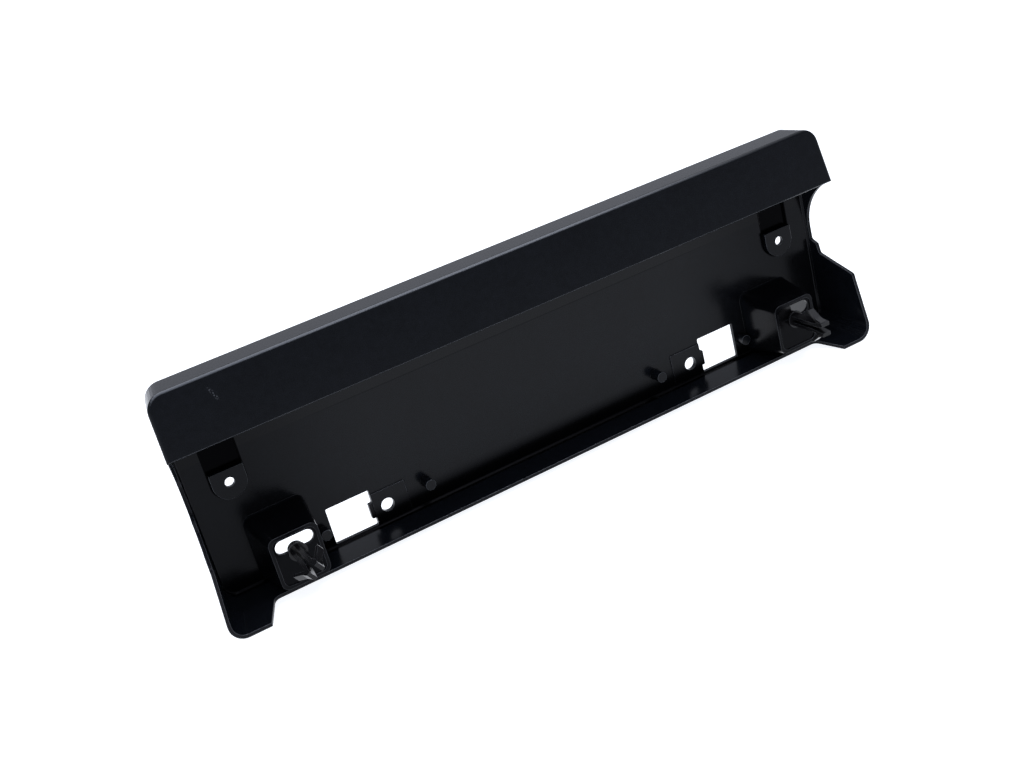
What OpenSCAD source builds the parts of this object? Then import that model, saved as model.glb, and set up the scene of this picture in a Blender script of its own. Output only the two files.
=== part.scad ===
// Number plate holder: a moulded tray that carries a number plate on its flat
// front and is pushed on to a bumper with two clips.
// X runs along the plate, Y from the plate face towards the bumper, Z is up.
// The origin lies on the plate face, midway between the two bumper screws.

/* [Plate face] */
// Width of the flat face at the very front
face_w = 531; // [510:1:560]
// Height of the flat face at the very front
face_h = 166.8; // [155:0.2:180]
// Height of the face's middle above the bumper screws
face_z = 67.3; // [66:0.1:69]
// Thickness of the face panel
panel_t = 3; // [2.5:0.1:4]
// Radius of the four corners seen from the front
corner_r = 12; // [8:0.5:16]
// Radius of the edge round the face
face_edge_r = 1.6; // [0.8:0.1:2.4]

/* [Walls] */
// Thickness of the walls round the tray
wall_t = 2.5; // [2:0.1:3]
// Lean of the end walls, in degrees
end_draft = 7.1; // [5:0.1:9]
// Extra lean of the end walls at the top, in degrees
top_spread = 1.5; // [0:0.1:3]
// Lean of the top wall, in degrees
top_draft = 1.4; // [0.5:0.1:3]
// Lean of the bottom wall up to its low rim, in degrees
bottom_draft = 4.6; // [3:0.1:6]
// Distance from the plate face to the low rim of the bottom wall
low_rim_y = 27.5; // [22:0.5:31]
// Distance from the plate face to the top of the corner skirts
skirt_y = 50; // [48:0.5:54]
// Lean of the bottom wall above the low rim, in degrees
skirt_flare = 11.1; // [6:0.1:13]
// Extra lean of the end walls at the bottom corners, in degrees
skirt_spread = 7.6; // [2:0.1:9]
// Height where that extra lean starts
spread_z = 33; // [25:0.5:40]
// Length of each skirt at the low rim, from the end of the face
skirt_l = 29.8; // [26:0.1:36]
// Slope of the skirts' inner ends, in degrees
skirt_end_slope = 25.8; // [10:0.1:35]

/* [Back flange] */
// Height of the flange's lower lip
lip_z = 108; // [103:0.1:116]
// Distance from the plate face to the outside of the lip
lip_y = 36.8; // [33:0.1:42]
// Slope of the flange towards the plate face, in degrees
flange_slope = 13.8; // [8:0.1:18]
// Thickness of the flange
flange_t = 2.5; // [2:0.1:3.5]
// Radius of the long edges of the flange
flange_edge_r = 2.5; // [1.5:0.1:4]
// Bevel of the lip's outer edge
lip_bevel = 0.7; // [0.3:0.1:1.2]

/* [End profile] */
// Distance from the plate face to the bottom of the round notch
notch_y = 5.4; // [4.6:0.1:8]
// Height of the notch where it is deepest
notch_z = 67.4; // [64:0.1:70]
// Height of the step under the notch
step_z = 56.9; // [54:0.1:59]
// Distance from the plate face to the ledge under the step
ledge_y = 12.6; // [10:0.1:15]
// Height where the slanted rise starts
rise_z = 45.6; // [43:0.1:48]
// Height where the slanted rise ends
shoulder_z = 31.9; // [29:0.1:36]
// Distance from the plate face to the shoulder
shoulder_y = 44.6; // [41:0.1:46]

/* [Plate screws] */
// Distance of each plate screw from the end of the face
screw_inset = 32; // [28:0.5:38]
// Height of the plate screws
screw_z = 67.1; // [64:0.1:69]
// Diameter of the plate screw holes
screw_hole_d = 6.9; // [5:0.1:8]
// Radius of the raised tongue round a plate screw
tongue_r = 12.3; // [10:0.1:14]
// Height of the raised tongue over the panel
tongue_rise = 3.6; // [2.5:0.1:5]
// Height of the tongue above its screw
tongue_top = 9.3; // [7:0.1:14]
// Depth of the recess above the tongue
recess_depth = 1.8; // [0.8:0.1:2]

/* [Bumper screws and windows] */
// Distance of each bumper screw from the middle
bumper_x = 133.7; // [125:0.1:135]
// Diameter of the bumper screw holes
bumper_d = 10.2; // [6:0.1:11]
// Width of each window
window_w = 33.6; // [28:0.1:36]
// Height of each window
window_h = 28.6; // [24:0.1:30]
// Distance of each window's centre from the middle
window_x = 161.1; // [160:0.1:163]
// Height of the windows' centre
window_z = 2.3; // [1:0.1:4]
// Width of the raised pad beside a window
pad_w = 27.2; // [22:0.1:30]
// Height of the raised pad over the panel
pad_rise = 0.8; // [0.4:0.1:1.5]
// Reach of the tab into a window
tab_reach = 3; // [2:0.1:5]
// Height of the tab
tab_h = 12; // [8:0.5:14]

/* [Pins and studs] */
// Distance of each locating pin from the middle
pin_x = 101.4; // [95:0.1:108]
// Height of the locating pins
pin_z = 4.2; // [1:0.1:7]
// Diameter of the locating pins
pin_d = 8; // [6:0.1:10]
// Length of the locating pins
pin_l = 10.3; // [7:0.1:14]
// Distance of each stud from the middle
stud_x = 184; // [183:0.1:185]
// Height of the studs
stud_z = 1.2; // [-1:0.1:3]
// Diameter of the studs
stud_d = 8; // [6:0.1:9]
// Length of the studs
stud_l = 7.2; // [5:0.1:10]

/* [Clip towers] */
// Distance of each tower's middle from the end of the face
tower_inset = 53.3; // [51.5:0.1:54.5]
// Height of the towers' centre
tower_z = 11.4; // [10:0.1:13]
// Width of a tower at its rim
tower_w = 36; // [34:0.1:38]
// Height of a tower at its rim
tower_h = 40; // [38:0.1:42]
// Distance from the plate face to the rim
tower_y = 41; // [36:0.5:45]
// Growth of a tower's width towards its base
tower_flare_w = 10; // [6:0.1:11]
// Growth of a tower's height towards its base
tower_flare_h = 11; // [6:0.1:12]
// Wall of the towers
tower_t = 2.4; // [2:0.1:3]
// Radius of a tower's corners at its rim
tower_r = 7; // [5:0.1:9]
// Thickness of the end plate
end_plate_t = 2.5; // [2:0.1:3]
// Depth of the end plate below the rim
rim_step = 1; // [0.5:0.1:2]
// Width of the opening in the end plate
opening_w = 28; // [25:0.1:29]
// Height of the opening above the clip's axis
opening_top = 12.2; // [10:0.1:13]
// Lower edge of the wide opening above the clip's axis
opening_low = 2; // [1:0.1:3]

/* [Clips] */
// Height of the clips' axis above the towers' centre
clip_rise = 4; // [3:0.1:5]
// Diameter of a clip's neck
neck_d = 9.4; // [7:0.1:10]
// Gap round the neck in its slot, and under the end plate
slot_gap = 0.2; // [0.1:0.05:0.4]
// Diameter of a clip's collar
collar_d = 13.4; // [12:0.1:15]
// Thickness of the collar
collar_t = 1.6; // [1:0.1:2.5]
// Diameter of a clip's foot, inside the tower
foot_d = 11.6; // [11:0.1:13]
// Width of the foot's wing
wing_w = 12.3; // [9:0.1:13]
// Height of the foot's wing
wing_h = 11; // [8:0.1:12]
// Thickness of the foot
foot_t = 2.2; // [1.5:0.1:3]
// Reach of the clip beyond the tower's rim
clip_reach = 36.5; // [30:0.5:45]
// Width of the two jaws
jaw_w = 7; // [5:0.1:8]
// Gap between the jaws at the collar
jaw_gap = 2.4; // [1.6:0.1:3]
// Thickness of a jaw
jaw_t = 2.8; // [2:0.1:3.2]
// Spread of a barb from the axis
barb_spread = 13.1; // [10:0.1:14]
// Width of the barbs
barb_w = 5; // [3.5:0.1:6]
// Turn of the right clip in its slot, in degrees
clip_turn = 122; // [100:1:150]

/* [Hidden] */
slice = 0.02;
past = 1;
far = 80;
eps = 0.06;
round_fn = 48;
hull_fn = 32;
inner_foot = 1.2;
round_window = 1;
round_skirt_in = 6;
round_skirt_out = 3;
round_step = 2.5;
round_shoulder = 3.5;
round_opening = 5;
recess_top_z = lip_z - 5;
skirt_x = face_w / 2 - skirt_l;
screw_x = face_w / 2 - screw_inset;
tower_x = face_w / 2 - tower_inset;
clip_z = tower_z + clip_rise;
end_plate_y = tower_y - rim_step;
black = [0.09, 0.095, 0.105];
gloss_black = [0.05, 0.052, 0.058];

// Half the width, the top and the bottom of the outside at a distance y from the face
function half_w(y) = face_w / 2 + y * tan(end_draft);
function top_half_w(y) = half_w(y) + y * tan(top_spread);
function low_half_w(y) = half_w(y) + max(0, y - low_rim_y) * tan(skirt_spread);
function top_z(y) = face_z + face_h / 2 + y * tan(top_draft);
function bottom_z(y) =
    face_z - face_h / 2 - min(y, low_rim_y) * tan(bottom_draft) - max(0, y - low_rim_y) * tan(skirt_flare);
// Outside of the sloping flange at a height z
function flange_y(z) = lip_y - (z - lip_z) * tan(flange_slope);

// A polygon's corner q between p and s, rounded with radius r
function unit(v) = v / norm(v);
function corner(p, q, s, r) =
    let (
        a = unit(p - q),
        b = unit(s - q),
        half = acos(a * b) / 2,
        centre = q + unit(a + b) * r / sin(half),
        first = q + a * r / tan(half) - centre,
        last = q + b * r / tan(half) - centre,
        from = atan2(first.y, first.x),
        swing = atan2(last.y, last.x) - from,
        turn = swing > 180 ? swing - 360 : swing < -180 ? swing + 360 : swing,
        steps = max(2, ceil(abs(turn) / 11))
    )
    [for (i = [0 : steps]) centre + r * [cos(from + turn * i / steps), sin(from + turn * i / steps)]];
// Points as [x, y, r]: r is the radius at that corner, 0 for a sharp one
function rounded(points) =
    [for (i = [0 : len(points) - 1])
        let (
            n = len(points),
            p = points[(i + n - 1) % n],
            q = points[i],
            s = points[(i + 1) % n]
        )
        each (q[2] > 0 ? corner([p.x, p.y], [q.x, q.y], [s.x, s.y], q[2]) : [[q.x, q.y]])];

module both_sides() {
    children();
    mirror([1, 0, 0]) children();
}

// A 2D shape drawn in X and Z, extruded from y0 to y1
module along_y(y0, y1) {
    translate([0, y1, 0]) rotate([90, 0, 0]) linear_extrude(y1 - y0) children();
}

// A 2D shape drawn in Y and Z, extruded right across the holder
module along_x() {
    rotate([90, 0, 90]) linear_extrude(2 * (half_w(skirt_y) + far), center = true) children();
}

module round_rect(w, h, r) {
    polygon(rounded([[-w / 2, -h / 2, r], [w / 2, -h / 2, r], [w / 2, h / 2, r], [-w / 2, h / 2, r]]));
}

// Thin discs that touch the outside at the places given, each [half width, z of its centre]
module discs(y, inset, radius, places) {
    both_sides() {
        for (place = places)
            translate([place.x - inset - radius, y, place.y])
                rotate([-90, 0, 0]) cylinder(r = radius, h = slice, $fn = hull_fn);
    }
}

// The four corners of the outside, a distance y from the face
module corner_discs(y, inset, radius) {
    discs(y, inset, radius, [
        [top_half_w(y), top_z(y) - inset - radius],
        [half_w(y), bottom_z(y) + inset + radius]
    ]);
}

// The bottom corners with their extra lean
module skirt_discs(y, inset, radius) {
    discs(y, inset, radius, [
        [half_w(y), spread_z],
        [low_half_w(y), bottom_z(y) + inset + radius]
    ]);
}

// The tapering outside, sharp at the flange
module outside() {
    hull() {
        corner_discs(0, face_edge_r, corner_r - face_edge_r);
        corner_discs(face_edge_r * 0.3, face_edge_r * 0.3, corner_r - face_edge_r * 0.3);
        corner_discs(face_edge_r, 0, corner_r);
        corner_discs(low_rim_y, 0, corner_r);
    }
    hull() {
        corner_discs(low_rim_y, 0, corner_r);
        corner_discs(skirt_y, 0, corner_r);
    }
    hull() {
        skirt_discs(low_rim_y, 0, corner_r);
        skirt_discs(skirt_y, 0, corner_r);
    }
}

// What the outside is trimmed to above the lip: the sloping flange with its rounded edges
module flange_block() {
    round_z = top_z(lip_y) - corner_r;
    under = flange_edge_r / cos(flange_slope);
    hull() both_sides() {
        for (z = [round_z, 0])
            translate([top_half_w(-past) + eps - corner_r, -past, z]) rotate([-90, 0, 0])
                cylinder(r = corner_r, h = slice, $fn = hull_fn);
        translate([top_half_w(flange_y(round_z) - under) + eps - corner_r, flange_y(round_z) - under, round_z])
            rotate([flange_slope - 90, 0, 0])
            rotate_extrude($fn = hull_fn)
            translate([corner_r - flange_edge_r, 0]) circle(r = flange_edge_r, $fn = hull_fn);
        translate([top_half_w(flange_y(0) - under) + eps - flange_edge_r, flange_y(0) - under, 0])
            sphere(r = flange_edge_r, $fn = hull_fn);
    }
}

// The end walls' outline below the lip, with the round notch that starts at the lip
module end_profile() {
    rise = lip_z - notch_z;
    reach = lip_y - lip_bevel - notch_y;
    notch_r = (reach * reach + rise * rise) / (2 * reach);
    sweep = asin(rise / notch_r);
    outline = rounded([
        [-past, -far * 2, 0],
        [-past, far * 2, 0],
        [far, far * 2, 0],
        [far, lip_z + lip_bevel + far - lip_y, 0],
        for (i = [0 : 24])
            [notch_y + notch_r * (1 - cos(sweep * (1 - i / 24))), notch_z + notch_r * sin(sweep * (1 - i / 24)), 0],
        [notch_y + 0.2, step_z, round_step],
        [ledge_y - 1.4, step_z - 3.6, round_step / 2],
        [ledge_y, rise_z, round_step],
        [shoulder_y, shoulder_z, round_shoulder],
        [skirt_y - 0.8, bottom_z(skirt_y) + corner_r, 0],
        [skirt_y, bottom_z(skirt_y) - past, 0],
        [skirt_y, -far * 2, 0],
    ]);
    polygon(outline);
}

// The hollow inside, up to the inner face of the flange
module inside() {
    intersection() {
        union() {
            hull() {
                corner_discs(panel_t, wall_t + inner_foot, corner_r - wall_t - inner_foot);
                corner_discs(panel_t + inner_foot, wall_t, corner_r - wall_t);
                corner_discs(low_rim_y, wall_t, corner_r - wall_t);
            }
            hull() {
                corner_discs(low_rim_y, wall_t, corner_r - wall_t);
                corner_discs(skirt_y + past, wall_t, corner_r - wall_t);
            }
            hull() {
                skirt_discs(low_rim_y, wall_t, corner_r - wall_t);
                skirt_discs(skirt_y + past, wall_t, corner_r - wall_t);
            }
        }
        back = flange_t / cos(flange_slope);
        along_x() polygon([
            [0, -far * 2],
            [far, -far * 2],
            [far, lip_z],
            [lip_y - back, lip_z],
            [flange_y(far * 2) - back, far * 2],
            [0, far * 2]
        ]);
    }
}

// The low rim between the two skirts
module rim_cut() {
    run = tan(skirt_end_slope);
    top_y = skirt_y + far;
    translate([0, 0, -far]) linear_extrude(far) polygon(rounded([
        [-skirt_x, low_rim_y, round_skirt_in],
        [skirt_x, low_rim_y, round_skirt_in],
        [skirt_x + (top_y - low_rim_y) * run, top_y, 0],
        [-skirt_x - (top_y - low_rim_y) * run, top_y, 0]
    ]));
}

module shell() {
    difference() {
        intersection() {
            outside();
            along_x() end_profile();
            union() {
                flange_block();
                translate([-face_w, -far, -far * 2]) cube([2 * face_w, 3 * far, far * 2 + lip_z]);
            }
        }
        inside();
        rim_cut();
    }
}

// Outline of the raised tongue, or of the pocket in front of it
module tongue_shape(radius, top) {
    intersection() {
        union() {
            circle(r = radius, $fn = round_fn);
            translate([-radius, 0]) square([2 * radius, top]);
        }
        translate([-radius, -radius]) square([2 * radius, radius + top]);
    }
}

module window_shape() {
    x0 = -window_w / 2;
    z0 = -window_z;
    polygon(rounded([
        [x0, -window_h / 2, round_window],
        [window_w / 2, -window_h / 2, round_window],
        [window_w / 2, window_h / 2, round_window],
        [x0, window_h / 2, round_window],
        [x0, z0 + tab_h / 2, round_window],
        [x0 + tab_reach, z0 + tab_h / 2, round_window],
        [x0 + tab_reach, z0 - tab_h / 2, round_window],
        [x0, z0 - tab_h / 2, round_window]
    ]));
}

// A tower's tapering outside, or its hollow, from y0 up to y1
module tower_body(y0, y1, inset) {
    full = tower_y - panel_t;
    grow0 = (tower_y - y0) / full;
    grow1 = (tower_y - y1) / full;
    w0 = tower_w + tower_flare_w * grow0 - 2 * inset;
    h0 = tower_h + tower_flare_h * grow0 - 2 * inset;
    w1 = tower_w + tower_flare_w * grow1 - 2 * inset;
    h1 = tower_h + tower_flare_h * grow1 - 2 * inset;
    translate([tower_x, y0, tower_z]) rotate([90, 0, 0]) mirror([0, 0, 1])
        linear_extrude(y1 - y0, scale = [w1 / w0, h1 / h0]) round_rect(w0, h0, tower_r - inset / 2);
}

// The keyhole opening that a clip is slid into
module keyhole() {
    mid = (opening_top + opening_low) / 2;
    translate([tower_x, clip_z]) {
        translate([0, mid]) round_rect(opening_w, opening_top - opening_low, round_opening);
        circle(d = neck_d + 2 * slot_gap, $fn = round_fn);
        translate([-neck_d / 2 - slot_gap, 0]) square([neck_d + 2 * slot_gap, mid]);
    }
}

module added_features() {
    pad_x = window_x - window_w / 2 - pad_w;
    pad_top = window_z + window_h / 2 - 3.7;
    pad_low = window_z - window_h / 2;
    translate([screw_x, 0, screw_z]) along_y(panel_t / 2, panel_t + tongue_rise) tongue_shape(tongue_r, tongue_top);
    translate([pad_x, panel_t / 2, pad_low]) cube([pad_w, panel_t / 2 + pad_rise, pad_top - pad_low]);
    translate([pin_x, panel_t / 2, pin_z]) rotate([-90, 0, 0])
        cylinder(d = pin_d, h = panel_t / 2 + pin_l, $fn = round_fn);
    translate([stud_x, panel_t / 2, stud_z]) rotate([-90, 0, 0])
        cylinder(d = stud_d, h = panel_t / 2 + stud_l, $fn = round_fn);
    tower_body(panel_t / 2, tower_y, 0);
}

module cut_features() {
    pocket_r = tongue_r - wall_t;
    translate([screw_x, 0, screw_z]) {
        rotate([-90, 0, 0]) cylinder(d = screw_hole_d, h = far, $fn = round_fn);
        along_y(-past, tongue_rise) tongue_shape(pocket_r, tongue_top - wall_t);
        translate([-tongue_r, panel_t - recess_depth, tongue_top])
            cube([2 * tongue_r, recess_depth + tongue_rise, recess_top_z - screw_z - tongue_top]);
    }
    translate([bumper_x, -past, 0]) rotate([-90, 0, 0]) cylinder(d = bumper_d, h = far, $fn = round_fn);
    translate([window_x, 0, window_z]) along_y(-past, panel_t + pad_rise + past) window_shape();
    tower_body(-past, end_plate_y - end_plate_t, tower_t);
    along_y(end_plate_y - end_plate_t - past, tower_y + past) keyhole();
    translate([tower_x, 0, tower_z]) along_y(end_plate_y, tower_y + past)
        round_rect(tower_w - 2 * tower_t, tower_h - 2 * tower_t, tower_r - tower_t);
}

module holder() {
    color(black) difference() {
        union() {
            shell();
            both_sides() added_features();
        }
        both_sides() cut_features();
    }
}

// A shape drawn in Y and Z, extruded to a width about the clip's axis
module across(width) {
    translate([-width / 2, 0, 0]) rotate([90, 0, 90]) linear_extrude(width) children();
}

// The upper jaw of the head with its barb, which leans back from the tip
module jaw() {
    top = tower_y + clip_reach;
    inner = jaw_gap / 2;
    outer = inner + jaw_t;
    across(jaw_w) polygon([
        [end_plate_y + 1, inner],
        [top - 12, inner],
        [top, inner + 1.4],
        [top, outer + 1.4],
        [top - 5, outer + 2.1],
        [top - 8.5, outer],
        [end_plate_y + 1, outer]
    ]);
    across(barb_w) polygon([
        [top - 4, outer - 0.5],
        [top - 1.2, outer + 1.4],
        [top - 7.8, outer + 3.9],
        [top - 15.1, barb_spread],
        [top - 17, barb_spread],
        [top - 16.4, barb_spread - 1.8],
        [top - 9.3, outer + 1.8],
        [top - 7.5, outer - 0.5]
    ]);
}

// A push-in clip: foot with one wing, neck, collar and an arrow head of two jaws with barbs
module clip(x, turn) {
    neck_y = end_plate_y - end_plate_t - slot_gap;
    color(gloss_black) translate([x, 0, clip_z]) rotate([0, turn, 0]) {
        along_y(neck_y - foot_t, neck_y) {
            circle(d = foot_d, $fn = round_fn);
            polygon(rounded([[0, 0, 0], [wing_w, 0, 2], [wing_w, wing_h, 2], [0, wing_h, 2]]));
        }
        translate([0, neck_y - foot_t / 2, 0]) rotate([-90, 0, 0])
            cylinder(d = neck_d, h = end_plate_y + 1 - neck_y + foot_t / 2, $fn = round_fn);
        translate([0, end_plate_y, 0]) rotate([-90, 0, 0]) cylinder(d = collar_d, h = collar_t, $fn = round_fn);
        jaw();
        mirror([0, 0, 1]) jaw();
    }
}

module clip_right() {
    clip(tower_x, clip_turn);
}

module clip_left() {
    clip(-tower_x, 0);
}

holder();
clip_left();
clip_right();
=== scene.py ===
import bmesh
import bpy
from mathutils import Matrix, Vector


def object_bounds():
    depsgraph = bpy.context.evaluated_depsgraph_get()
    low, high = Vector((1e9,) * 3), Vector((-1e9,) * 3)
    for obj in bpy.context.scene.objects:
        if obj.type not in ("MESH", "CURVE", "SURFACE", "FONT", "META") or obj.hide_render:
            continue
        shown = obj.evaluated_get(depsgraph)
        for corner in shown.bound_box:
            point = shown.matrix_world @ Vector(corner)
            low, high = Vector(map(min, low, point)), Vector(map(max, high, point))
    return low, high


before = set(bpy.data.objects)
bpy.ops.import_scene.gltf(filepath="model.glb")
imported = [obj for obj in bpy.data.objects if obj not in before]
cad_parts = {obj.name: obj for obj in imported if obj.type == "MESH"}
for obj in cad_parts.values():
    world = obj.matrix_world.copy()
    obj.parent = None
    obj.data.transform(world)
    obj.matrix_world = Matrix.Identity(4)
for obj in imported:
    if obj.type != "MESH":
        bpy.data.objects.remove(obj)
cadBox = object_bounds()
scene = bpy.context.scene
scene.view_settings.view_transform = "Standard"
print("frame loaded")

# camera, fitted to the photograph
cameraSetup = {
    "place": (0.3544, 0.854, 0.4337),
    "right": (-0.85844, 0.45169, -0.24300),
    "up": (-0.38391, -0.25168, 0.88842),
    "lens": 47.5,
    "sensor": 36,
    "nearest": 0.05,
    "farthest": 20,
}


def makeCamera(setup):
    right = Vector(setup["right"]).normalized()
    up = Vector(setup["up"])
    up = (up - right * up.dot(right)).normalized()
    back = right.cross(up)
    data = bpy.data.cameras.new("camera")
    data.lens = setup["lens"]
    data.sensor_width = setup["sensor"]
    data.clip_start = setup["nearest"]
    data.clip_end = setup["farthest"]
    cam = bpy.data.objects.new("camera", data)
    turn = Matrix((right, up, back)).transposed().to_4x4()
    cam.matrix_world = Matrix.Translation(setup["place"]) @ turn
    scene.collection.objects.link(cam)
    scene.camera = cam


makeCamera(cameraSetup)


# node helpers: a value is a number, a vector, a colour or another node's output
def feed(tree, socket, value):
    if isinstance(value, bpy.types.NodeSocket):
        tree.links.new(value, socket)
    else:
        socket.default_value = value


def addNode(tree, kind, values=None, **settings):
    node = tree.nodes.new(kind)
    for key, value in settings.items():
        setattr(node, key, value)
    for key, value in (values or {}).items():
        feed(tree, node.inputs[key], value)
    return node


def calc(tree, operation, *values):
    node = addNode(tree, "ShaderNodeMath", dict(enumerate(values)), operation=operation)
    return node.outputs[0]


def product(tree, *values):
    total = values[0]
    for value in values[1:]:
        total = calc(tree, "MULTIPLY", total, value)
    return total


def largest(tree, *values):
    most = values[0]
    for value in values[1:]:
        most = calc(tree, "MAXIMUM", most, value)
    return most


def distance(tree, value, middle):
    return calc(tree, "ABSOLUTE", calc(tree, "SUBTRACT", value, middle))


def ramp(tree, value, span, levels=(0, 1)):
    # the first level at the span's first number, the second at its other, smooth between
    node = addNode(tree, "ShaderNodeMapRange", {
        "Value": value,
        "From Min": span[0],
        "From Max": span[1],
        "To Min": levels[0],
        "To Max": levels[1],
    }, interpolation_type="SMOOTHSTEP")
    return node.outputs["Result"]


def blend(tree, factor, colour, other):
    node = addNode(tree, "ShaderNodeMix", data_type="RGBA")
    feed(tree, node.inputs["Factor"], factor)
    feed(tree, node.inputs[6], colour)
    feed(tree, node.inputs[7], (*other, 1))
    return node.outputs[2]


def makeGroup(name, sockets):
    tree = bpy.data.node_groups.new(name, "ShaderNodeTree")
    for label, way, kind, value in sockets:
        socket = tree.interface.new_socket(name=label, in_out=way, socket_type=kind)
        if value is not None:
            socket.default_value = value
    return tree, tree.nodes.new("NodeGroupInput"), tree.nodes.new("NodeGroupOutput")


# light and floor
studio = {
    "worldColour": (0.94, 0.98, 1.10),
    "brightWorld": 0.68,   # behind the plate face
    "dimWorld": 0.35,      # behind the camera
    "dimSide": (-0.60, 0.79, 0.10),
    "dimRange": (-0.65, 0.75),
    "skyBoost": 1.6,       # straight above
    "skyRange": (0.55, 0.9),
    "lowBoost": 0.5,       # along the horizon
    "lowRange": (0.16, 0.06),
    "topLight": {
        "place": (-0.1, -0.5, 2.1), "aim": (0, 0, 0), "size": (2.6, 1.8), "power": 30,
    },
    "edgeLight": {
        "place": (-0.60, 0.85, 1.60), "aim": (0, 0, 0.07), "size": (0.9, 0.35), "power": 5,
    },
}
floorSetup = {
    "size": 200,
    "below": 0.0005,       # under the lowest point of the part
    "colour": (0.40, 0.41, 0.43),
    "glow": (0.90, 0.92, 0.95),
    "roughness": 0.85,
    "specular": 0.1,
}


def makeWorld(setup):
    world = bpy.data.worlds.new("studio")
    world.use_nodes = True
    tree = world.node_tree
    look = addNode(tree, "ShaderNodeTexCoord").outputs["Generated"]
    side = addNode(tree, "ShaderNodeVectorMath", {0: look, 1: setup["dimSide"]},
                   operation="DOT_PRODUCT")
    height = addNode(tree, "ShaderNodeSeparateXYZ", {0: look}).outputs["Z"]
    strength = ramp(tree, side.outputs["Value"], setup["dimRange"],
                    (setup["brightWorld"], setup["dimWorld"]))
    for span, boost in (("skyRange", "skyBoost"), ("lowRange", "lowBoost")):
        strength = calc(tree, "ADD", strength, ramp(tree, height, setup[span], (0, setup[boost])))
    background = tree.nodes["Background"]
    feed(tree, background.inputs["Color"], (*setup["worldColour"], 1))
    feed(tree, background.inputs["Strength"], strength)
    scene.world = world


def makeLight(name, setup):
    data = bpy.data.lights.new(name, "AREA")
    data.shape = "RECTANGLE"
    data.size, data.size_y = setup["size"]
    data.energy = setup["power"]
    lamp = bpy.data.objects.new(name, data)
    aim = Vector(setup["aim"]) - Vector(setup["place"])
    turn = aim.to_track_quat("-Z", "Y").to_matrix().to_4x4()
    lamp.matrix_world = Matrix.Translation(setup["place"]) @ turn
    scene.collection.objects.link(lamp)


def makeFloor(setup):
    sheet = bmesh.new()
    bmesh.ops.create_grid(sheet, x_segments=1, y_segments=1, size=setup["size"] / 2)
    bmesh.ops.translate(sheet, verts=sheet.verts, vec=(0, 0, cadBox[0].z - setup["below"]))
    mesh = bpy.data.meshes.new("floor")
    sheet.to_mesh(mesh)
    sheet.free()
    floor = bpy.data.objects.new("floor", mesh)
    scene.collection.objects.link(floor)
    material = bpy.data.materials.new("paleFloor")
    material.use_nodes = True
    skin = material.node_tree.nodes["Principled BSDF"]
    skin.inputs["Base Color"].default_value = (*setup["colour"], 1)
    skin.inputs["Roughness"].default_value = setup["roughness"]
    skin.inputs["Specular IOR Level"].default_value = setup["specular"]
    skin.inputs["Emission Color"].default_value = (*setup["glow"], 1)
    skin.inputs["Emission Strength"].default_value = 1
    mesh.materials.append(material)


makeWorld(studio)
makeLight("topLight", studio["topLight"])
makeLight("edgeLight", studio["edgeLight"])
makeFloor(floorSetup)
print("camera and studio ready")

# the skin that both plastics share
skinPattern = {
    "grain": {"Detail": 2.0, "Roughness": 0.6},
    "cloud": {"Scale": 28.0, "Detail": 3.0, "Roughness": 0.55},
    "blotch": {"Scale": 210.0, "Detail": 4.0, "Roughness": 0.65},
    "cloudShare": 0.5,
    "middle": 0.75,        # of the cloud and the blotches together
    "tintSpread": 0.9,
}


def makeMoulding(pattern):
    # fine moulded grain, slow waves of the skin and faint handling marks
    tree, entry, out = makeGroup("mouldedSkin", [
        ("Grain Scale", "INPUT", "NodeSocketFloat", 1400.0),
        ("Base Roughness", "INPUT", "NodeSocketFloat", 0.3),
        ("Roughness Spread", "INPUT", "NodeSocketFloat", 0.1),
        ("Tint", "INPUT", "NodeSocketColor", (0.01, 0.011, 0.013, 1)),
        ("Colour", "OUTPUT", "NodeSocketColor", None),
        ("Roughness", "OUTPUT", "NodeSocketFloat", None),
        ("Height", "OUTPUT", "NodeSocketFloat", None),
    ])
    place = addNode(tree, "ShaderNodeTexCoord").outputs["Object"]
    noises = {}
    for name in ("grain", "cloud", "blotch"):
        noises[name] = addNode(tree, "ShaderNodeTexNoise", {"Vector": place, **pattern[name]})
    feed(tree, noises["grain"].inputs["Scale"], entry.outputs["Grain Scale"])
    mixed = calc(tree, "MULTIPLY_ADD", noises["cloud"].outputs["Fac"], pattern["cloudShare"],
                 noises["blotch"].outputs["Fac"])
    centred = calc(tree, "SUBTRACT", mixed, pattern["middle"])
    rough = addNode(tree, "ShaderNodeMath", {
        0: centred,
        1: entry.outputs["Roughness Spread"],
        2: entry.outputs["Base Roughness"],
    }, operation="MULTIPLY_ADD", use_clamp=True)
    shade = calc(tree, "MULTIPLY_ADD", centred, pattern["tintSpread"], 1.0)
    tinted = addNode(tree, "ShaderNodeVectorMath", {0: entry.outputs["Tint"], "Scale": shade},
                     operation="SCALE")
    feed(tree, out.inputs["Colour"], tinted.outputs[0])
    feed(tree, out.inputs["Roughness"], rough.outputs[0])
    feed(tree, out.inputs["Height"], noises["grain"].outputs["Fac"])
    return tree


# samples and open range for the painted edge highlight and the painted corner shade
highlightAndShadeSampling = {"samples": 6, "openRange": (0.55, 0.92)}


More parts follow.
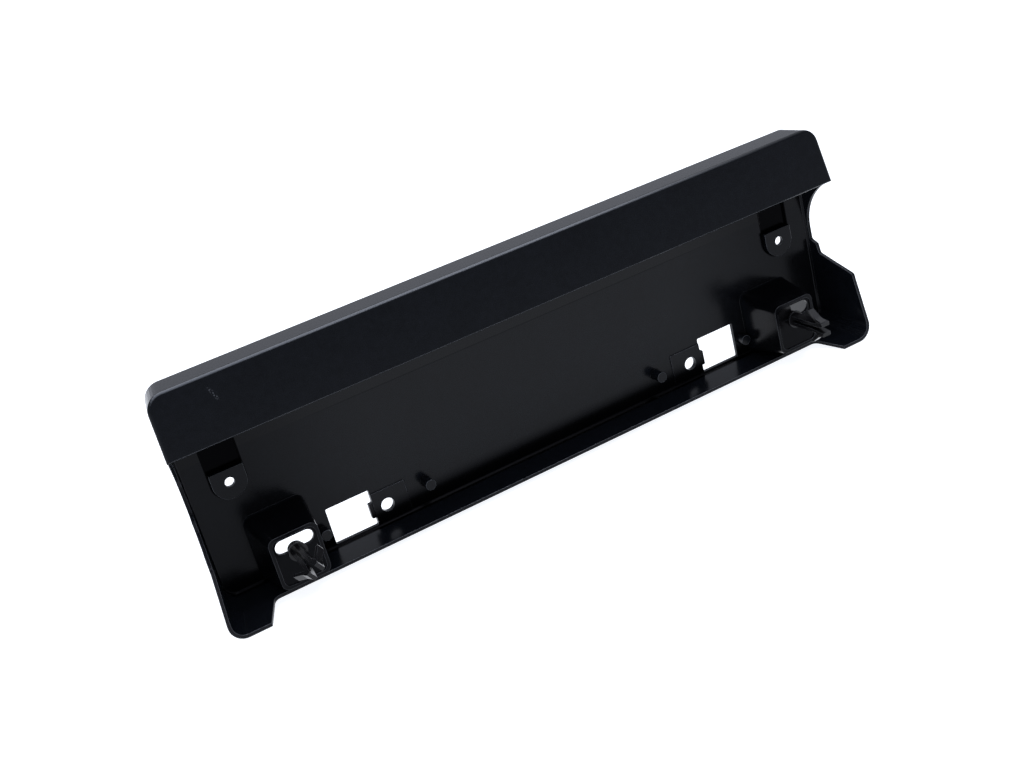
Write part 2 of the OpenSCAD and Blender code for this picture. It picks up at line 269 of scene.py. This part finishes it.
def makeEdgeHighlightsAndCornerShade(sampling):
    # outer edges with rounded normals and a painted highlight, and painted shade lines in the
    # inner corners
    tree, entry, out = makeGroup("edgeHighlightsAndCornerShade", [
        ("Radius", "INPUT", "NodeSocketFloat", 0.0008),
        ("Sharpness", "INPUT", "NodeSocketFloat", 4.0),
        ("Corner Reach", "INPUT", "NodeSocketFloat", 0.002),
        ("Edge", "OUTPUT", "NodeSocketFloat", None),
        ("Corner", "OUTPUT", "NodeSocketFloat", None),
        ("Normal", "OUTPUT", "NodeSocketVector", None),
    ])
    rounded = addNode(tree, "ShaderNodeBevel", {"Radius": entry.outputs["Radius"]},
                      samples=sampling["samples"])
    flat = addNode(tree, "ShaderNodeNewGeometry").outputs["True Normal"]
    match = addNode(tree, "ShaderNodeVectorMath", {0: rounded.outputs["Normal"], 1: flat},
                    operation="DOT_PRODUCT")
    near = addNode(tree, "ShaderNodeAmbientOcclusion", {"Distance": entry.outputs["Corner Reach"]},
                   samples=sampling["samples"], only_local=True)
    outside = ramp(tree, near.outputs["AO"], sampling["openRange"])
    bend = product(tree, calc(tree, "SUBTRACT", 1.0, match.outputs["Value"]),
                   entry.outputs["Sharpness"])
    feed(tree, out.inputs["Edge"], product(tree, calc(tree, "MINIMUM", bend, 1.0), outside))
    feed(tree, out.inputs["Corner"], calc(tree, "SUBTRACT", 1.0, outside))
    feed(tree, out.inputs["Normal"], rounded.outputs["Normal"])
    return tree


# places on the holder in metres, for the painted highlight, the painted shade and the marks; a
# pair is where one starts and where it is full
holderPlaces = {
    "backward": (0.3, 0.6),            # of the normal's Y
    "edgeFacing": (0.0, 0.69, 0.724),
    "edgeSpread": (0.87, 0.985),
    "edgeHeight": (0.138, 0.142),
    "edgeFade": (-0.27, -0.03),
    "panelBack": (0.0034, 0.0031),
    "panelFront": (0.0004, 0.0009),
    "screwX": 0.2335,
    "screwZ": 0.0671,
    "tongueRadius": 0.0123,
    "tongueShadeOutside": (0.0014, 0.00084),
    "tongueShadeInside": (-0.0002, 0.0),
    "recessSide": (0.0001, -0.0001),
    "recessLow": (0.0762, 0.0764),
    "recessHigh": (0.1032, 0.103),
    "lineHeight": 0.0872,
    "lineWidth": (0.0006, 0.0002),
    "lineDark": 0.28,
    "stripHeight": (0.0872, 0.0875),
    "footHeight": (0.006, -0.006),
    "footBack": (0.0048, 0.0042),
    "footShadeStrength": 0.8,
    "endSpan": (0.12, 0.24),
    "endBack": (0.0070, 0.0064),
    "endShadeStrength": 0.5,
    "filletFacing": (0.15, 0.3),       # of the normal's Z
    "filletBack": (0.0068, 0.0060),
    "filletHeight": (-0.0115, -0.0125),
    "towerX": 0.2122,
    "towerSide": (0.0225, 0.0205),
    "towerFront": (0.0045, 0.0055),
    "towerHigh": (0.040, 0.037),
    "towerLow": (-0.012, -0.009),
    "towerShadeStrength": 0.5,
    "plateSide": (0.0180, 0.0170),
    "plateFront": (0.0385, 0.0395),
    "plateRim": (0.0408, 0.0403),
    "rimShare": 0.55,
    "plateHigh": (0.036, 0.034),
    "plateShadeStrength": 0.7,
    "scuffPlace": (0.2270, 0.0290, 0.1385),
    "scuffTurn": -0.35,
    "scuffWidth": (0.0016, 0.0004),
    "scuffTaper": 0.12,
    "scuffLength": (0.0068, 0.0040),
    "scuffNoise": {"Scale": 700.0, "Detail": 2.0},
    "scuffBreaks": (0.48, 0.62),
}


def makeHighlightShadeAndMarks(places):
    # painted highlight, painted shade, a lighter strip and a scuff, each at its place on the
    # holder
    tree, entry, out = makeGroup("holderHighlightShadeAndMarks", [
        ("Normal", "INPUT", "NodeSocketVector", (0, 0, 1)),
        ("Long Edge", "OUTPUT", "NodeSocketFloat", None),
        ("Dark", "OUTPUT", "NodeSocketFloat", None),
        ("Strip", "OUTPUT", "NodeSocketFloat", None),
        ("Scuff", "OUTPUT", "NodeSocketFloat", None),
    ])

    def within(value, *names):
        return product(tree, *(ramp(tree, value, places[name]) for name in names))

    place = addNode(tree, "ShaderNodeTexCoord").outputs["Object"]
    normal = entry.outputs["Normal"]
    x, y, z = addNode(tree, "ShaderNodeSeparateXYZ", {0: place}).outputs
    facing = addNode(tree, "ShaderNodeSeparateXYZ", {0: normal}).outputs
    fromMiddle = calc(tree, "ABSOLUTE", x)
    fromTower = distance(tree, fromMiddle, places["towerX"])
    backward = within(facing["Y"], "backward")
    onPanel = within(y, "panelBack", "panelFront")

    # painted highlight along the long edge of the flange, fading out towards negative X
    tilt = addNode(tree, "ShaderNodeVectorMath", {0: normal, 1: places["edgeFacing"]},
                   operation="DOT_PRODUCT")
    longEdgeHighlight = product(tree, within(tilt.outputs["Value"], "edgeSpread"),
                       within(z, "edgeHeight"), within(x, "edgeFade"))

    # painted shade in a thin line round each tongue and in the recess above it, and the faint
    # darker line along the panel
    across = distance(tree, fromMiddle, places["screwX"])
    drop = calc(tree, "MINIMUM", calc(tree, "SUBTRACT", z, places["screwZ"]), 0.0)
    squares = calc(tree, "ADD", product(tree, across, across), product(tree, drop, drop))
    beyond = calc(tree, "SUBTRACT", calc(tree, "SQRT", squares), places["tongueRadius"])
    tongueShade = within(beyond, "tongueShadeOutside", "tongueShadeInside")
    recessShade = product(tree, within(beyond, "recessSide"), within(z, "recessLow", "recessHigh"))
    line = product(tree, within(distance(tree, z, places["lineHeight"]), "lineWidth"),
                   places["lineDark"])
    shadeAndLine = product(tree, largest(tree, tongueShade, recessShade, line), onPanel)

    # painted shade: the panel darker at its foot and ends, and the fillet of the bottom wall
    # darkened
    footShade = product(tree, within(z, "footHeight"), within(y, "footBack"), backward,
                   places["footShadeStrength"])
    endShade = product(tree, within(fromMiddle, "endSpan"), within(y, "endBack"), backward,
                   places["endShadeStrength"])
    filletShade = product(tree, within(facing["Z"], "filletFacing"), within(y, "filletBack"),
                     within(z, "filletHeight"))

    # painted shade on the towers and their end plates
    towerShade = product(tree, within(fromTower, "towerSide"), within(y, "towerFront"),
                    within(z, "towerHigh", "towerLow"), places["towerShadeStrength"])
    rim = ramp(tree, y, places["plateRim"], (places["rimShare"], 1))
    plateShade = product(tree, within(y, "plateFront"), rim, within(fromTower, "plateSide"),
                    within(z, "plateHigh"), places["plateShadeStrength"])

    # a short rubbed scratch near the end of the flange
    along = addNode(tree, "ShaderNodeVectorMath", {0: place, 1: places["scuffPlace"]},
                    operation="SUBTRACT")
    turned = addNode(tree, "ShaderNodeVectorRotate", {
        "Vector": along.outputs["Vector"],
        "Angle": places["scuffTurn"],
    }, rotation_type="Y_AXIS")
    part = addNode(tree, "ShaderNodeSeparateXYZ", {0: turned.outputs["Vector"]}).outputs
    length = calc(tree, "ABSOLUTE", part["Z"])
    width = calc(tree, "ADD", calc(tree, "ABSOLUTE", part["X"]),
                 product(tree, length, places["scuffTaper"]))
    waves = addNode(tree, "ShaderNodeTexNoise", {"Vector": place, **places["scuffNoise"]})
    scuff = product(tree, within(width, "scuffWidth"), within(length, "scuffLength"),
                    within(waves.outputs["Fac"], "scuffBreaks"), backward)

    feed(tree, out.inputs["Long Edge"], longEdgeHighlight)
    feed(tree, out.inputs["Dark"], largest(tree, shadeAndLine, footShade, filletShade, plateShade, endShade, towerShade))
    feed(tree, out.inputs["Strip"], product(tree, within(z, "stripHeight"), onPanel, backward))
    feed(tree, out.inputs["Scuff"], scuff)
    return tree


mouldedSkin = makeMoulding(skinPattern)
edgeHighlightsAndCornerShade = makeEdgeHighlightsAndCornerShade(highlightAndShadeSampling)
holderHighlightShadeAndMarks = makeHighlightShadeAndMarks(holderPlaces)


def makePlastic(name, look, placedShadeAndMarks=None):
    material = bpy.data.materials.new(name)
    material.use_nodes = True
    tree = material.node_tree
    skin = tree.nodes["Principled BSDF"]
    skin.inputs["Specular IOR Level"].default_value = look["specular"]
    effect = addNode(tree, "ShaderNodeGroup", node_tree=mouldedSkin)
    for socket, key in (("Grain Scale", "grainScale"), ("Base Roughness", "roughness"),
                        ("Roughness Spread", "spread")):
        effect.inputs[socket].default_value = look[key]
    effect.inputs["Tint"].default_value = (*look["colour"], 1)
    edges = addNode(tree, "ShaderNodeGroup", node_tree=edgeHighlightsAndCornerShade)
    for socket, key in (("Radius", "edgeRadius"), ("Sharpness", "edgeSharpness"),
                        ("Corner Reach", "cornerShadeReach")):
        edges.inputs[socket].default_value = look[key]
    bump = addNode(tree, "ShaderNodeBump", {
        "Strength": look["bump"],
        "Distance": look["bumpHeight"],
        "Height": effect.outputs["Height"],
        "Normal": edges.outputs["Normal"],
    })
    # painted highlight on the outer edges and painted shade in the inner corners
    highlightAndScuff = product(tree, edges.outputs["Edge"], look["edgeHighlightStrength"])
    dark = product(tree, edges.outputs["Corner"], look["cornerShadeStrength"])
    colour = effect.outputs["Colour"]
    if placedShadeAndMarks:
        shadeAndMarksNode = addNode(tree, "ShaderNodeGroup", node_tree=placedShadeAndMarks)
        feed(tree, shadeAndMarksNode.inputs["Normal"], edges.outputs["Normal"])
        # the long edge's painted highlight and the scuff's lighter colour join the edge highlight
        highlightAndScuff = largest(tree, highlightAndScuff,
                        product(tree, shadeAndMarksNode.outputs["Long Edge"], look["longEdgeHighlightStrength"]),
                        product(tree, shadeAndMarksNode.outputs["Scuff"], look["scuffShine"]))
        # painted shade and the faint line from places on the holder
        dark = largest(tree, dark, shadeAndMarksNode.outputs["Dark"])
        strip = product(tree, shadeAndMarksNode.outputs["Strip"], look["stripBlend"])
        colour = blend(tree, strip, colour, look["stripColour"])
    # blend in the painted highlight and the scuff, then the painted shade
    colour = blend(tree, highlightAndScuff, colour, look["edgeHighlightColour"])
    colour = blend(tree, dark, colour, look["darkColour"])
    feed(tree, skin.inputs["Base Color"], colour)
    # metallic carries the painted highlight and the scuff, and lets the painted shade take away
    # the reflection
    feed(tree, skin.inputs["Metallic"], largest(tree, highlightAndScuff, dark))
    feed(tree, skin.inputs["Roughness"], effect.outputs["Roughness"])
    feed(tree, skin.inputs["Normal"], bump.outputs["Normal"])
    return material


# the holder's and the clips' plastics
holderLook = {
    "colour": (0.0025, 0.0031, 0.0045),
    "roughness": 0.2,
    "spread": 0.1,
    "grainScale": 1300.0,
    "bump": 0.12,
    "bumpHeight": 0.0001,
    "specular": 0.122,
    "edgeRadius": 0.0007,
    "edgeSharpness": 4.0,
    # painted highlight on the edges and the long edge
    "edgeHighlightColour": (0.30, 0.32, 0.36),
    "edgeHighlightStrength": 0.35,
    "longEdgeHighlightStrength": 0.22,
    "scuffShine": 0.35,
    # painted shade in the inner corners and at places on the holder; darkColour also darkens the
    # faint line
    "cornerShadeReach": 0.002,
    "cornerShadeStrength": 0.8,
    "darkColour": (0.0012, 0.0012, 0.0014),
    "stripColour": (0.0052, 0.0056, 0.0064),
    "stripBlend": 0.6,
}
clipLook = {
    "colour": (0.0040, 0.0040, 0.0045),
    "roughness": 0.2,
    "spread": 0.08,
    "grainScale": 1800.0,
    "bump": 0.05,
    "bumpHeight": 0.0001,
    "specular": 0.2,
    "edgeRadius": 0.0003,
    "edgeSharpness": 4.0,
    # painted highlight on the edges and painted shade in the inner corners
    "edgeHighlightColour": (0.30, 0.32, 0.36),
    "edgeHighlightStrength": 0.15,
    "cornerShadeReach": 0.0015,
    "cornerShadeStrength": 0.7,
    "darkColour": (0.0012, 0.0012, 0.0014),
}


def dress(node, material):
    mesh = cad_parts[node].data
    mesh.materials.clear()
    mesh.materials.append(material)


satinBlack = makePlastic("satinBlackPlastic", holderLook, holderHighlightShadeAndMarks)
glossBlack = makePlastic("glossBlackPlastic", clipLook)
dress("holder", satinBlack)
dress("clip_left", glossBlack)
dress("clip_right", glossBlack)
print("holder and clips dressed")
